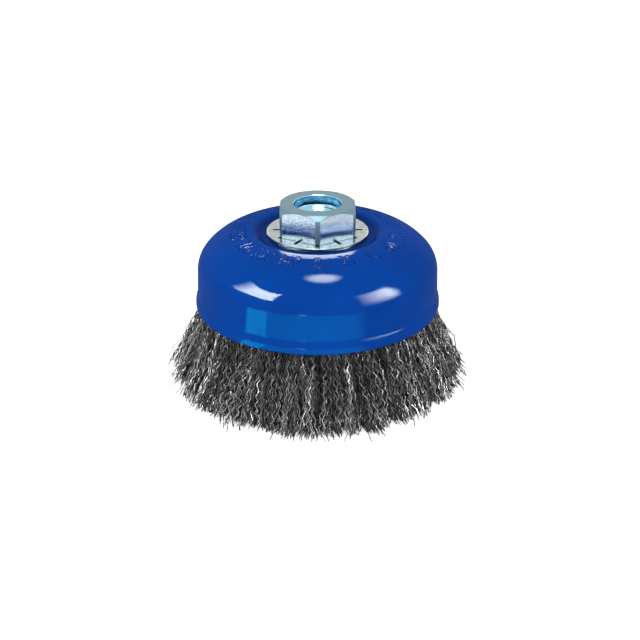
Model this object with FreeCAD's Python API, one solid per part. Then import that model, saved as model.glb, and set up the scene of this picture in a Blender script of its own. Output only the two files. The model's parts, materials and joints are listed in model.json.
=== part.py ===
"""Crimped wire cup brush for an angle grinder, 100 mm across its wire tips.

A drawn steel cup holds a ring of crimped wires, doubled over a retaining ring and kept outwards by a dished
inner plate. A hexagon nut passes through a washer, the cup and the plate, and its shank is rolled over below.

Millimetres. The brush stands on its wire tips: the origin is the centre of the plane that they touch, +Z runs
up the spindle axis to the nut, and a corner of the hexagon points along -Y.
"""

import FreeCAD, Part
import math
import os

UP = FreeCAD.Vector(0, 0, 1)
ORIGIN = FreeCAD.Vector(0, 0, 0)
FULL_TURN = 360.0

# Wires
TRIM_LENGTH = 24.0            # free wire below the cup's lip
TIP_RADIUS = 50.0             # outer face of the wires at their tips
TIP_BORE_RADIUS = 28.0        # inner face of the wires at their tips
SECTORS = 18                  # nodes that the wires are grouped into
BUNDLE_ROWS = (4, 3, 3, 2)    # bundles in one sector, from the outer row to the inner row
BUNDLE_FILL = 0.9             # a bundle's width, as a share of the room that it has in its row
TIP_FILL = 0.5                # the same at its very tip
CRIMPS = 6                    # bends along one bundle
CRIMP_SWING = 0.75            # sideways reach of one bend
TIP_RAGGED = 2.2              # spread of the bundles' lengths
FLARE_RAGGED = 5.5            # spread of the outer bundles' reach
ROOT_OVERLAP = 0.5            # length of a bundle inside the packed wires

# Cup
CUP_RADIUS = 39.0             # outside of the wall at its top
CUP_WALL = 1.5                # sheet thickness
RIM_LAND = 0.5                # straight edge above the rounded lip
RIM_SWELL_ANGLE = 23.0        # slope of the swelled rim where it meets the wall
RIM_SWELL_RADIUS = 7.2
RIM_FILLET = 1.6
WALL_TAPER_ANGLE = 2.1        # the wall leans in by this much
WALL_HEIGHT = 8.1             # straight wall between the swelled rim and the crease
CREASE_RADIUS = 2.2
CREASE_ANGLE = 2.0            # change of slope at the crease
SHOULDER_RADIUS = 9.3
SHOULDER_ANGLE = 42.5         # slope where the shoulder runs into the crown
CREST_RADIUS = 3.7
RECESS_SLOPE_ANGLE = 31.2
RECESS_FILLET = 1.0
RECESS_DEPTH = 1.3            # crest to recess floor
RECESS_MARGIN = 1.8           # flat floor left around the washer

# Washer
WASHER_THICKNESS = 1.2
WASHER_BORDER = 1.9           # from the slots' outer ends to the rim
WASHER_EDGE = 0.15
SLOTS = 12
SLOT_SHOW = 1.0               # the slots run out this far past the hexagon's corners
SLOT_WIDTH = 0.7

# Nut
HEX_FLATS = 24.0
HEX_HEIGHT = 9.2
HEX_CORNER_TURNED = 0.36      # taken off each sharp corner
HEX_CHAMFER_DROP = 1.3
THREAD_MINOR_RADIUS = 5.9175  # M14 x 2
SHANK_WALL = 3.6              # from the thread's core to the outside of the shank
COUNTERBORE_RADIUS = 7.6
COUNTERBORE_DEPTH = 3.3
BORE_EDGE = 0.3
ROLL_OVERHANG = 2.3           # the rolled-over end stands out past the shank
ROLL_THICKNESS = 1.7
SHANK_CLEARANCE = 0.1

# Inner plate
PLATE_WALL = 1.5
PLATE_LAND = 2.2              # flat left around the rolled-over end
PLATE_SLOPE_ANGLE = 38.0
PLATE_BEND_RADIUS = 2.5
PLATE_RIM_LENGTH = 2.5

# Retaining ring
RING_WIRE = 4.0
WIRE_ROOM = 10.5              # packed wires between the inner plate's rim and the cup's wall
FOLD_THICKNESS = 2.4          # packed wires between the ring and the dome
WIRE_CLEARANCE = 0.2          # packed wires to the sheet that they press on

CUT_PAST = 1.0                # cutters run this far past what they cut


class Path:
    """Lines and tangent arcs drawn from a point in the XZ plane, at a fixed distance beside a centre line."""

    def __init__(self, x, z, heading, beside=0.0):
        """Start at x, z with a heading in degrees from +X. A positive beside lies to the right of the line."""
        self.heading = heading
        self.beside = beside
        self.x = x
        self.z = z
        self.edges = []

    def point(self):
        """The point beside the centre line at the path's end."""
        angle = math.radians(self.heading - 90)
        return FreeCAD.Vector(self.x + self.beside * math.cos(angle), 0, self.z + self.beside * math.sin(angle))

    def straight(self, length):
        """Run straight on."""
        start = self.point()
        self.x += length * math.cos(math.radians(self.heading))
        self.z += length * math.sin(math.radians(self.heading))
        self.edges.append(Part.LineSegment(start, self.point()).toShape())
        return self

    def turn(self, radius, angle):
        """Turn left along an arc of the given radius, or right where the angle is negative."""
        side = math.copysign(1.0, angle)
        to_centre = math.radians(self.heading + 90 * side)
        centre = (self.x + radius * math.cos(to_centre), self.z + radius * math.sin(to_centre))
        start = self.point()
        self._swing(centre, radius, angle / 2, side)
        middle = self.point()
        self._swing(centre, radius, angle / 2, side)
        self.edges.append(Part.Arc(start, middle, self.point()).toShape())
        return self

    def _swing(self, centre, radius, angle, side):
        self.heading += angle
        from_centre = math.radians(self.heading - 90 * side)
        self.x = centre[0] + radius * math.cos(from_centre)
        self.z = centre[1] + radius * math.sin(from_centre)


def line(*points):
    """Straight edges through points given as x, z pairs."""
    vectors = [FreeCAD.Vector(x, 0, z) for x, z in points]
    return [Part.LineSegment(a, b).toShape() for a, b in zip(vectors, vectors[1:])]


def face(edges):
    """A face from the edges around it, in any order."""
    return Part.Face(Part.Wire(Part.__sortEdges__(edges)))


def closed_outline(*points):
    """A face with straight sides through x, z points."""
    return face(line(*points, points[0]))


def turned(section, angle=FULL_TURN):
    """A section in the XZ plane turned about the spindle axis."""
    return section.revolve(ORIGIN, UP, angle)


def rise(radius, degrees):
    """How far an arc of this radius drops from its crest over the given angle."""
    return radius * (1 - math.cos(math.radians(degrees)))


# Heights and radii that follow from the sizes above
LIP_Z = TRIM_LENGTH
HEX_CORNER_RADIUS = HEX_FLATS / math.sqrt(3) - HEX_CORNER_TURNED
SLOT_REACH = HEX_CORNER_RADIUS + SLOT_SHOW
WASHER_RADIUS = SLOT_REACH + WASHER_BORDER
SHANK_RADIUS = THREAD_MINOR_RADIUS + SHANK_WALL
SHANK_HOLE_RADIUS = SHANK_RADIUS + SHANK_CLEARANCE
ROLL_RADIUS = SHANK_RADIUS + ROLL_OVERHANG
WALL_INSIDE_RADIUS = CUP_RADIUS - CUP_WALL
PLATE_RIM_RADIUS = WALL_INSIDE_RADIUS - WIRE_ROOM
PLATE_FLAT_RADIUS = ROLL_RADIUS + PLATE_LAND
PLATE_SLOPE_LENGTH = (
    PLATE_RIM_RADIUS - PLATE_FLAT_RADIUS - PLATE_BEND_RADIUS) / math.cos(math.radians(PLATE_SLOPE_ANGLE))
FLOOR_RADIUS = WASHER_RADIUS + RECESS_MARGIN
RECESS_SLOPE_DROP = (
    RECESS_DEPTH - rise(CREST_RADIUS, RECESS_SLOPE_ANGLE) - rise(RECESS_FILLET, RECESS_SLOPE_ANGLE))
RECESS_SLOPE_LENGTH = RECESS_SLOPE_DROP / math.sin(math.radians(RECESS_SLOPE_ANGLE))
RECESS_BENDS = (CREST_RADIUS + RECESS_FILLET) * math.sin(math.radians(RECESS_SLOPE_ANGLE))
CREST_X = FLOOR_RADIUS + RECESS_BENDS + RECESS_SLOPE_LENGTH * math.cos(math.radians(RECESS_SLOPE_ANGLE))
SHOULDER_START_ANGLE = WALL_TAPER_ANGLE + CREASE_ANGLE


def crown_radius():
    """Radius of the arc between shoulder and crest that makes the cup as wide as CUP_RADIUS."""
    start = math.cos(math.radians(SHOULDER_START_ANGLE))
    end = math.cos(math.radians(SHOULDER_ANGLE))
    crease = CREASE_RADIUS * (math.cos(math.radians(WALL_TAPER_ANGLE)) - start)
    return (CUP_RADIUS - crease - CREST_X - SHOULDER_RADIUS * (start - end)) / end


CROWN_RADIUS = crown_radius()


def cup_path(beside, from_z=0.0):
    """The cup's sheet from the hole in its floor out and down to the rim.

    The path runs along the outside of the sheet, and beside moves it into the sheet.
    """
    path = Path(SHANK_HOLE_RADIUS, from_z, 0, beside)
    path.straight(FLOOR_RADIUS - SHANK_HOLE_RADIUS)
    path.turn(RECESS_FILLET, RECESS_SLOPE_ANGLE)
    path.straight(RECESS_SLOPE_LENGTH)
    path.turn(CREST_RADIUS, -RECESS_SLOPE_ANGLE)
    path.turn(CROWN_RADIUS, SHOULDER_ANGLE - 90)
    path.turn(SHOULDER_RADIUS, SHOULDER_START_ANGLE - SHOULDER_ANGLE)
    path.turn(CREASE_RADIUS, -CREASE_ANGLE)
    path.straight(WALL_HEIGHT)
    path.turn(RIM_FILLET, RIM_SWELL_ANGLE - WALL_TAPER_ANGLE)
    path.turn(RIM_SWELL_RADIUS, -RIM_SWELL_ANGLE)
    path.straight(RIM_LAND)
    return path


# The sheet ends in a rounded lip, half a wall high
FLOOR_Z = LIP_Z + CUP_WALL / 2 - cup_path(0).z
WASHER_TOP_Z = FLOOR_Z + WASHER_THICKNESS
NUT_TOP_Z = WASHER_TOP_Z + HEX_HEIGHT
PLATE_TOP_Z = FLOOR_Z - CUP_WALL
NUT_BOTTOM_Z = PLATE_TOP_Z - PLATE_WALL - ROLL_THICKNESS


def cup_section():
    """The cup's sheet cut through: both sides of the path, the edge of the hole and the rounded lip."""
    outside = cup_path(0, FLOOR_Z)
    inside = cup_path(CUP_WALL, FLOOR_Z)
    top, bottom = outside.point(), inside.point()
    middle = (top + bottom) / 2 - UP * (CUP_WALL / 2)
    lip = Part.Arc(top, middle, bottom).toShape()
    hole = line((SHANK_HOLE_RADIUS, FLOOR_Z), (SHANK_HOLE_RADIUS, FLOOR_Z - CUP_WALL))
    return face(outside.edges + inside.edges + [lip] + hole)


def cup():
    """The drawn cup."""
    return turned(cup_section())


def plate_path(beside):
    """The inner plate's sheet, from its hole out, down the slope and down the rim."""
    path = Path(SHANK_HOLE_RADIUS, PLATE_TOP_Z, 0, beside)
    path.straight(PLATE_FLAT_RADIUS - SHANK_HOLE_RADIUS)
    path.turn(PLATE_BEND_RADIUS, -PLATE_SLOPE_ANGLE)
    path.straight(PLATE_SLOPE_LENGTH)
    path.turn(PLATE_BEND_RADIUS, PLATE_SLOPE_ANGLE - 90)
    path.straight(PLATE_RIM_LENGTH)
    return path


def plate_section():
    """The inner plate cut through."""
    outside = plate_path(0)
    inside = plate_path(PLATE_WALL)
    hole = line((SHANK_HOLE_RADIUS, PLATE_TOP_Z), (SHANK_HOLE_RADIUS, PLATE_TOP_Z - PLATE_WALL))
    end = [Part.LineSegment(outside.point(), inside.point()).toShape()]
    return face(outside.edges + inside.edges + hole + end)


def inner_plate():
    """The dished clamp plate."""
    return turned(plate_section())


RING_RADIUS = (PLATE_RIM_RADIUS + WALL_INSIDE_RADIUS) / 2


def ring_height():
    """Height of the retaining ring's centre, one fold of wire below the dome."""
    centre_z = FLOOR_Z + RECESS_DEPTH - CROWN_RADIUS
    inside = CROWN_RADIUS - CUP_WALL
    dome = centre_z + math.sqrt(inside ** 2 - (RING_RADIUS - CREST_X) ** 2)
    return dome - FOLD_THICKNESS - RING_WIRE / 2


RING_Z = ring_height()
ROOT_Z = LIP_Z + CUP_WALL / 2
ROOT_OUTER = cup_path(CUP_WALL + 2 * WIRE_CLEARANCE).point().x
ROOT_BAND = ROOT_OUTER - PLATE_RIM_RADIUS - WIRE_CLEARANCE
TIP_BAND = TIP_RADIUS - TIP_BORE_RADIUS


def retaining_ring():
    """The ring that the wires are folded over."""
    return Part.makeTorus(RING_RADIUS, RING_WIRE / 2, UP * RING_Z)


def ring_groove():
    """The retaining ring's round section, to be cut out of the packed wires' section."""
    centre = FreeCAD.Vector(RING_RADIUS, 0, RING_Z)
    circle = Part.Circle(centre, FreeCAD.Vector(0, 1, 0), RING_WIRE / 2)
    return Part.Face(Part.Wire(circle.toShape()))


def slot_cutter(index):
    """A round-ended radial slot, cut through the washer from its hole outwards."""
    half = SLOT_WIDTH / 2
    straight = SLOT_REACH - half
    height = WASHER_THICKNESS + 2 * CUT_PAST
    base = FreeCAD.Vector(0, -half, FLOOR_Z - CUT_PAST)
    bar = Part.makeBox(straight, SLOT_WIDTH, height, base)
    end = Part.makeCylinder(half, height, FreeCAD.Vector(straight, 0, base.z))
    slot = bar.fuse(end)
    slot.rotate(ORIGIN, UP, index * FULL_TURN / SLOTS)
    return slot


def hub_washer():
    """The washer, with broken edges at its rim and the twelve slots."""
    low, high = FLOOR_Z, WASHER_TOP_Z
    section = closed_outline(
        (SHANK_HOLE_RADIUS, low),
        (WASHER_RADIUS - WASHER_EDGE, low),
        (WASHER_RADIUS, low + WASHER_EDGE),
        (WASHER_RADIUS, high - WASHER_EDGE),
        (WASHER_RADIUS - WASHER_EDGE, high),
        (SHANK_HOLE_RADIUS, high),
    )
    return turned(section).cut([slot_cutter(index) for index in range(SLOTS)])


def hexagon():
    """The hexagon with its corners turned down and chamfered at the top."""
    corner = HEX_FLATS / math.sqrt(3)
    points = []
    for index in range(7):
        angle = math.radians(30 + 60 * index)
        points.append(FreeCAD.Vector(corner * math.cos(angle), corner * math.sin(angle), WASHER_TOP_Z))
    prism = Part.Face(Part.makePolygon(points)).extrude(UP * HEX_HEIGHT)
    blank = turned(closed_outline(
        (0, WASHER_TOP_Z),
        (HEX_CORNER_RADIUS, WASHER_TOP_Z),
        (HEX_CORNER_RADIUS, NUT_TOP_Z - HEX_CHAMFER_DROP),
        (HEX_FLATS / 2, NUT_TOP_Z),
        (0, NUT_TOP_Z),
    ))
    return prism.common(blank)


def shank():
    """The shank below the hexagon and its end, rolled outwards under the inner plate."""
    under_plate = PLATE_TOP_Z - PLATE_WALL
    end_radius = SHANK_RADIUS - ROLL_THICKNESS / 2
    roll = Part.Arc(
        FreeCAD.Vector(ROLL_RADIUS, 0, under_plate),
        FreeCAD.Vector(ROLL_RADIUS - ROLL_THICKNESS * 0.3, 0, under_plate - ROLL_THICKNESS * 0.7),
        FreeCAD.Vector(end_radius, 0, NUT_BOTTOM_Z),
    ).toShape()
    sides = line(
        (end_radius, NUT_BOTTOM_Z),
        (0, NUT_BOTTOM_Z),
        (0, WASHER_TOP_Z),
        (SHANK_RADIUS, WASHER_TOP_Z),
        (SHANK_RADIUS, under_plate),
        (ROLL_RADIUS, under_plate),
    )
    return turned(face(sides + [roll]))


def bore():
    """What is drilled out of the nut: edge break, counterbore, cone and thread core."""
    cone = COUNTERBORE_RADIUS - THREAD_MINOR_RADIUS
    return turned(closed_outline(
        (0, NUT_BOTTOM_Z - CUT_PAST),
        (THREAD_MINOR_RADIUS + BORE_EDGE + CUT_PAST, NUT_BOTTOM_Z - CUT_PAST),
        (THREAD_MINOR_RADIUS, NUT_BOTTOM_Z + BORE_EDGE),
        (THREAD_MINOR_RADIUS, NUT_TOP_Z - COUNTERBORE_DEPTH - cone),
        (COUNTERBORE_RADIUS, NUT_TOP_Z - COUNTERBORE_DEPTH),
        (COUNTERBORE_RADIUS, NUT_TOP_Z - BORE_EDGE),
        (COUNTERBORE_RADIUS + BORE_EDGE + CUT_PAST, NUT_TOP_Z + CUT_PAST),
        (0, NUT_TOP_Z + CUT_PAST),
    ))


def drive_nut():
    """The nut that the grinder's spindle screws into."""
    return hexagon().fuse(shank()).cut(bore()).removeSplitter()


def packed_wires():
    """One sector of the wires inside the cup, folded over the retaining ring.

    They fill the room under the dome, outside the inner plate, down to the rounding of the lip.
    """
    inside = cup_path(CUP_WALL + WIRE_CLEARANCE, FLOOR_Z)
    lip, roof = inside.point(), FLOOR_Z - CUP_WALL - WIRE_CLEARANCE
    room = face(inside.edges + line((lip.x, lip.z), (0, lip.z), (0, roof), (SHANK_HOLE_RADIUS, roof)))
    plate = plate_path(-WIRE_CLEARANCE).straight(PLATE_TOP_Z)
    rim, top = plate.point(), PLATE_TOP_Z + WIRE_CLEARANCE
    below_plate = face(plate.edges + line(
        (rim.x, rim.z), (-CUT_PAST, rim.z), (-CUT_PAST, top), (SHANK_HOLE_RADIUS, top)))
    under_floor = closed_outline((-CUT_PAST, 0), (FLOOR_RADIUS, 0), (FLOOR_RADIUS, FLOOR_Z), (-CUT_PAST, FLOOR_Z))
    section = room.cut([below_plate, under_floor, ring_groove()])
    largest = max(section.Faces, key=lambda one: one.Area)
    return turned(largest, FULL_TURN / SECTORS)


def scatter(count, spread):
    """A share of the spread that jumps about evenly from one count to the next."""
    golden = (math.sqrt(5) - 1) / 2
    return spread * ((count * golden) % 1.0)


def bundle_section(x, z, swing, row, fill):
    """Corners of a bundle's diamond section, which fills its row at the root and grows with its radius."""
    across = fill * math.pi * x / (BUNDLE_ROWS[row] * SECTORS)
    deep = fill * ROOT_BAND / len(BUNDLE_ROWS) / 2 * x / row_centre(ROOT_OUTER, ROOT_BAND, row)
    corners = ((x - deep, swing), (x, swing - across), (x + deep, swing), (x, swing + across))
    return [FreeCAD.Vector(a, b, z) for a, b in corners]


def crimped_bundle(angle, row, root, tip):
    """One bundle of crimped wires, bent left and right on its way down.

    root and tip are x, z points in the plane at the given angle. Neighbours in a row bend alike, so they
    never meet, and the rows bend in turn.
    """
    rings = []
    for step in range(CRIMPS + 1):
        share = step / CRIMPS
        x = root[0] + (tip[0] - root[0]) * share
        z = root[1] + (tip[1] - root[1]) * share
        side = 1 if (step + row) % 2 else -1
        swing = CRIMP_SWING * side if step else 0.0
        rings.append(bundle_section(x, z, swing, row, BUNDLE_FILL if step < CRIMPS else TIP_FILL))
    faces = [Part.Face(Part.makePolygon([*ring, ring[0]])) for ring in (rings[0], rings[-1])]
    for above, below in zip(rings, rings[1:]):
        for index in range(len(above)):
            after = (index + 1) % len(above)
            sides = [above[index], above[after], below[after], below[index], above[index]]
            faces.append(Part.Face(Part.makePolygon(sides)))
    bundle = Part.Solid(Part.Shell(faces))
    if bundle.Volume < 0:
        bundle.reverse()
    bundle.rotate(ORIGIN, UP, angle)
    return bundle


def row_centre(outer, band, row):
    """Radius of a row's middle in a band of rows that starts at its outer radius."""
    return outer - band * (row + 0.5) / len(BUNDLE_ROWS)


def wire_sector(variant):
    """The packed wires of one sector with the bundles that hang from them."""
    root_z = ROOT_Z + ROOT_OVERLAP
    sector = FULL_TURN / SECTORS
    bundles = []
    for row, amount in enumerate(BUNDLE_ROWS):
        root_x = row_centre(ROOT_OUTER, ROOT_BAND, row)
        tip_x = row_centre(TIP_RADIUS, TIP_BAND, row)
        for index in range(amount):
            count = len(bundles) + variant * sum(BUNDLE_ROWS)
            angle = (index + 0.5) * sector / amount
            reach = tip_x + (scatter(count, FLARE_RAGGED) if row == 0 else 0)
            tip_z = scatter(count, TIP_RAGGED)
            bundles.append(crimped_bundle(angle, row, (root_x, root_z), (reach, tip_z)))
    return packed_wires().fuse(bundles)


def save(shape, node):
    """Write one node's solids."""
    shape.exportStep(f"parts/{node}.step")
    print(node, "solids", len(shape.Solids), "volume", round(shape.Volume, 1), "valid", shape.isValid())


def main():
    """Build every piece and write it."""
    os.makedirs("parts", exist_ok=True)
    save(cup(), "cup")
    save(hub_washer(), "hub_washer")
    save(drive_nut(), "drive_nut")
    save(inner_plate(), "inner_plate")
    save(retaining_ring(), "retaining_ring")
    variants = [wire_sector(variant) for variant in range(3)]
    for index in range(SECTORS):
        shape = variants[index % len(variants)].copy()
        shape.rotate(ORIGIN, UP, index * FULL_TURN / SECTORS)
        save(shape, f"wire_bundle_{index + 1:02d}")


main()
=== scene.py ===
"""Looks of a crimped wire cup brush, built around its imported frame.

Everything is in metres in the frame's own axes: the wire tips stand on Z = 0, +Z runs up the spindle axis to
the nut, and a corner of the hexagon points along -Y. The pieces' own sizes are written in millimetres and
scaled once, as a mesh is finished. Those of finishes, lamps and panels are metres.
"""

import json
import logging
import math
import random
from dataclasses import dataclass
from enum import Enum
from typing import Iterator, Sequence

import bmesh
import bpy
import numpy as np
from bmesh.types import BMEdge, BMesh, BMFace, BMVert
from mathutils import Matrix, Vector
from mathutils.bvhtree import BVHTree
from mathutils.kdtree import KDTree

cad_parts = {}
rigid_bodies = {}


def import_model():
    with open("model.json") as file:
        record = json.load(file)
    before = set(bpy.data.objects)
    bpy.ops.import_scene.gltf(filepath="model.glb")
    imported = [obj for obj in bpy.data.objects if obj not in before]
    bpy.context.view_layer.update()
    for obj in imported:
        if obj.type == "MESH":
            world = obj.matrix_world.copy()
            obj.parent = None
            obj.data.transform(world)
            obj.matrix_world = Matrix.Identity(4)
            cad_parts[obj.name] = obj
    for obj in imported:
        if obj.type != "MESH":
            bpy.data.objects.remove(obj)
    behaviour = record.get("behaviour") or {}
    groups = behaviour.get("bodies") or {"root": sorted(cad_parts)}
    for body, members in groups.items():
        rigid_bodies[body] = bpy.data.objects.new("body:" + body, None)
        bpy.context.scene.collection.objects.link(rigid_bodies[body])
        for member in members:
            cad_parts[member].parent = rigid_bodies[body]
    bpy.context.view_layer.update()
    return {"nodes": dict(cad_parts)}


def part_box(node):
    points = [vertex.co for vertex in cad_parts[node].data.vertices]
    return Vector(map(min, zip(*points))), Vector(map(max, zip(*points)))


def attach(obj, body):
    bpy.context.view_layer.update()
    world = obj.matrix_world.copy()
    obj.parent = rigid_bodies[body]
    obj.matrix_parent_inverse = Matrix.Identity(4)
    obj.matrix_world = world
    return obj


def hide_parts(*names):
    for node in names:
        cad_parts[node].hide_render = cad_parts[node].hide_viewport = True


LOG = logging.getLogger("wire_cup_brush")

MM = 0.001
FULL_TURN = math.tau
CIRCLE = 360
UP = Vector((0, 0, 1))
ORIGIN = Vector((0, 0, 0))
BODY = "root"
MERGE_DISTANCE = 0.001
SHADE = "shade"
WEDGES = 12

Colour = tuple[float, float, float, float]
Loops = tuple[list[BMEdge], list[BMEdge]]
Socket = bpy.types.NodeSocket

WHITE: Colour = (1.0, 1.0, 1.0, 1.0)


def scaled(colour: Colour, factor: float) -> Colour:
    """A colour, brighter or darker by a factor."""
    return (colour[0] * factor, colour[1] * factor, colour[2] * factor, 1.0)


class Slot(Enum):
    """The record's material slots."""

    ENAMEL = "blue_enamel"
    ZINC = "zinc_plate"
    SHEET = "zinc_sheet"
    STEEL = "plain_steel"
    WIRE = "wire_steel"


class NodeTree:
    """A material's or world's node tree, with short calls for the nodes that the finishes share.

    A value is a constant or a socket that is linked.
    """

    def __init__(self, owner: bpy.types.Material | bpy.types.World) -> None:
        """Empty the owner's tree.

        Args:
            owner: the material or world that the nodes belong to.
        """
        owner.use_nodes = True
        self.tree = owner.node_tree
        self.tree.nodes.clear()

    def add(self, kind: str, inputs: dict | None = None, **settings: object) -> bpy.types.Node:
        """Add a node.

        Args:
            kind: the node's type name without its ShaderNode prefix.
            inputs: values of its input sockets, by name or number.
            settings: properties of the node, such as operation.

        Returns:
            The new node.
        """
        node = self.tree.nodes.new("ShaderNode" + kind)
        for name, value in settings.items():
            setattr(node, name, value)
        for name, value in (inputs or {}).items():
            if isinstance(value, Socket):
                self.tree.links.new(value, node.inputs[name])
            else:
                node.inputs[name].default_value = value
        return node

    def place(self) -> Socket:
        """Object coordinates."""
        return self.add("TexCoord").outputs["Object"]

    def axes(self, vector: Socket) -> bpy.types.NodeOutputs:
        """A vector's X, Y and Z sockets."""
        return self.add("SeparateXYZ", {"Vector": vector}).outputs

    def noise(self, vector: Socket, size: float, detail: float) -> Socket:
        """Noise read at a vector, with blobs of a size in metres and a number of octaves."""
        return self.add("TexNoise", {"Vector": vector, "Scale": 1 / size, "Detail": detail}).outputs["Fac"]

    def span(self, value: Socket, low: float, high: float, to_low: float = 0.0,
             to_high: float = 1.0) -> Socket:
        """Map a value from one span to another, clamped."""
        ends = {"From Min": low, "From Max": high, "To Min": to_low, "To Max": to_high}
        return self.add("MapRange", {"Value": value, **ends}).outputs["Result"]

    def math(self, operation: str, first: object, second: object = 0.0) -> Socket:
        """A sum, product or the like of two values."""
        return self.add("Math", {0: first, 1: second}, operation=operation).outputs["Value"]

    def blend(self, share: object, first: object, second: object) -> Socket:
        """The colour that lies a share of the way from the first to the second."""
        return self.add("Mix", {0: share, 6: first, 7: second}, data_type="RGBA").outputs[2]

    def mixed(self, share: object, first: object, second: object) -> Socket:
        """The number that lies a share of the way from the first to the second."""
        return self.add("Mix", {0: share, 2: first, 3: second}, data_type="FLOAT").outputs[0]

    def bump(self, height: Socket, depth: float, **coarser: Socket) -> Socket:
        """A normal bent by a height whose 1 is a depth in metres, over a coarser Normal if one is given."""
        return self.add("Bump", {"Height": height, "Distance": depth, **coarser}).outputs["Normal"]

    def shade(self) -> Socket:
        """The piece's own shade attribute."""
        return self.add("Attribute", attribute_name=SHADE).outputs["Fac"]

    def radius(self) -> Socket:
        """Distance from the spindle axis in metres."""
        axes = self.axes(self.place())
        squares = [self.math("MULTIPLY", axes[name], axes[name]) for name in ("X", "Y")]
        return self.math("SQRT", self.math("ADD", *squares))

    def surface(self, shader: Socket) -> None:
        """Finish a material with a shader."""
        self.add("OutputMaterial", {"Surface": shader})

    def principled(self, **inputs: object) -> None:
        """Finish a material with one Principled shader, whose sockets are named with _ for spaces."""
        named = {name.replace("_", " "): value for name, value in inputs.items()}
        self.surface(self.add("BsdfPrincipled", named).outputs["BSDF"])

    def glow(self, colour: Colour, strength: object) -> Socket:
        """An emission shader."""
        return self.add("Emission", {"Color": colour, "Strength": strength}).outputs["Emission"]

    def added(self, first: Socket, second: Socket) -> None:
        """Finish a material with the sum of two shaders."""
        self.surface(self.add("AddShader", {0: first, 1: second}).outputs["Shader"])


@dataclass(frozen=True)
class Enamel:
    """Glossy blue enamel, sprayed and baked on the cup. Sizes are metres."""

    deep: Colour = (0.0, 0.037, 0.240, 1.0)
    light: Colour = (0.0, 0.045, 0.285, 1.0)
    # painted shade: the darker colour blended in where the shade attribute is set, in the recess and the
    # numbers
    pooled: Colour = (0.0, 0.012, 0.090, 1.0)
    pooled_share: float = 0.7
    roughness: float = 0.5
    coat: float = 0.08
    coat_roughness: float = 0.05
    cloud_size: float = 0.018
    cloud_span: tuple[float, float] = (0.35, 0.65)
    peel_size: float = 0.0016
    peel_depth: float = 0.000004

    def material(self) -> bpy.types.Material:
        """The enamel's material, with painted shade where the shade attribute is set: the recess and the
        pressed numbers.

        Returns:
            The material.
        """
        made = bpy.data.materials.new("blue_enamel_gloss")
        nodes = NodeTree(made)
        place = nodes.place()
        cloud = nodes.span(nodes.noise(place, self.cloud_size, detail=3.0), *self.cloud_span)
        peel = nodes.bump(nodes.noise(place, self.peel_size, detail=1.0), self.peel_depth)
        even = nodes.blend(cloud, self.deep, self.light)
        # painted shade, as strong as the shade attribute
        painted_shading = nodes.math("MULTIPLY", nodes.shade(), self.pooled_share)
        nodes.principled(
            Base_Color=nodes.blend(painted_shading, even, self.pooled),
            Roughness=self.roughness,
            Specular_IOR_Level=0.0,
            Coat_Weight=self.coat,
            Coat_Roughness=self.coat_roughness,
            Normal=peel,
            Coat_Normal=peel,
        )
        return made


@dataclass(frozen=True)
class ZincPlate:
    """Bright zinc plate on cold drawn steel, bluer and smoother in the bore, rougher and darker where it is
    turned.

    It is turned past a radius, above a level, and above a cone that drops outwards. Sizes are metres.
    """

    name: str
    pale: Colour = (0.56, 0.66, 0.76, 1.0)
    dull: Colour = (0.36, 0.47, 0.58, 1.0)
    # colour of the turned faces: partly a duller turned finish, partly painted shade for the darker
    # surroundings they mirror
    turned: Colour = (0.17, 0.28, 0.335, 1.0)
    bore: Colour = (0.32, 0.60, 0.76, 1.0)
    drawn_roughness: tuple[float, float] = (0.05, 0.19)
    turned_roughness: float = 0.38
    bore_roughness: float = 0.14
    bore_radius: float = 0.0078
    level_height: float = 1.0
    turned_height: float = 1.0
    turned_slope: float = 0.0
    turned_radius: float = 1.0
    groove_pitch: float = 0.00022
    groove_depth: float = 0.000006
    grain_size: float = 0.0004
    grain_depth: float = 0.00003
    grain_span: tuple[float, float] = (0.3, 0.7)
    mottle_size: float = 0.0007
    mottle_span: tuple[float, float] = (0.36, 0.66)
    edge: float = 0.00004

    def turned_share(self, nodes: NodeTree, place: Socket, radius: Socket) -> Socket:
        """Where the steel is turned, and so takes the darker colour that is partly painted shade.

        Args:
            nodes: the material's nodes.
            place: object coordinates.
            radius: distance from the spindle axis.

        Returns:
            The share, 0 or 1 but for a narrow edge.
        """
        height = nodes.axes(place)["Z"]
        cone = nodes.math("ADD", height, nodes.math("MULTIPLY", radius, self.turned_slope))
        marks = ((cone, self.turned_height), (height, self.level_height), (radius, self.turned_radius))
        shares = [nodes.span(value, mark - self.edge, mark) for value, mark in marks]
        return nodes.math("MAXIMUM", nodes.math("MAXIMUM", shares[0], shares[1]), shares[2])

    def material(self) -> bpy.types.Material:
        """The plate's material, with turning grooves about the spindle axis and a fine grain.

        Returns:
            The material.
        """
        made = bpy.data.materials.new(self.name)
        nodes = NodeTree(made)
        place = nodes.place()
        radius = nodes.radius()
        rings = nodes.add("CombineXYZ", {"X": nodes.math("MULTIPLY", radius, 1 / self.groove_pitch)})
        grooves = nodes.noise(rings.outputs["Vector"], size=1.0, detail=2.0)
        mottle = nodes.span(nodes.noise(place, self.mottle_size, detail=4.0), *self.mottle_span)
        grain = nodes.noise(place, self.grain_size, detail=2.0)
        turned = self.turned_share(nodes, place, radius)
        bored = nodes.span(radius, self.bore_radius, self.bore_radius + self.edge, to_low=1.0, to_high=0.0)
        # turned faces get the darker colour: partly a duller finish, partly painted shade
        colour = nodes.blend(turned, nodes.blend(mottle, self.dull, self.pale), self.turned)
        rough = nodes.span(grain, *self.grain_span, *self.drawn_roughness)
        rough = nodes.mixed(turned, rough, self.turned_roughness)
        nodes.principled(
            Base_Color=nodes.blend(bored, colour, self.bore),
            Metallic=1.0,
            Roughness=nodes.mixed(bored, rough, self.bore_roughness),
            Normal=nodes.bump(grain, self.grain_depth, Normal=nodes.bump(grooves, self.groove_depth)),
        )
        return made


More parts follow.
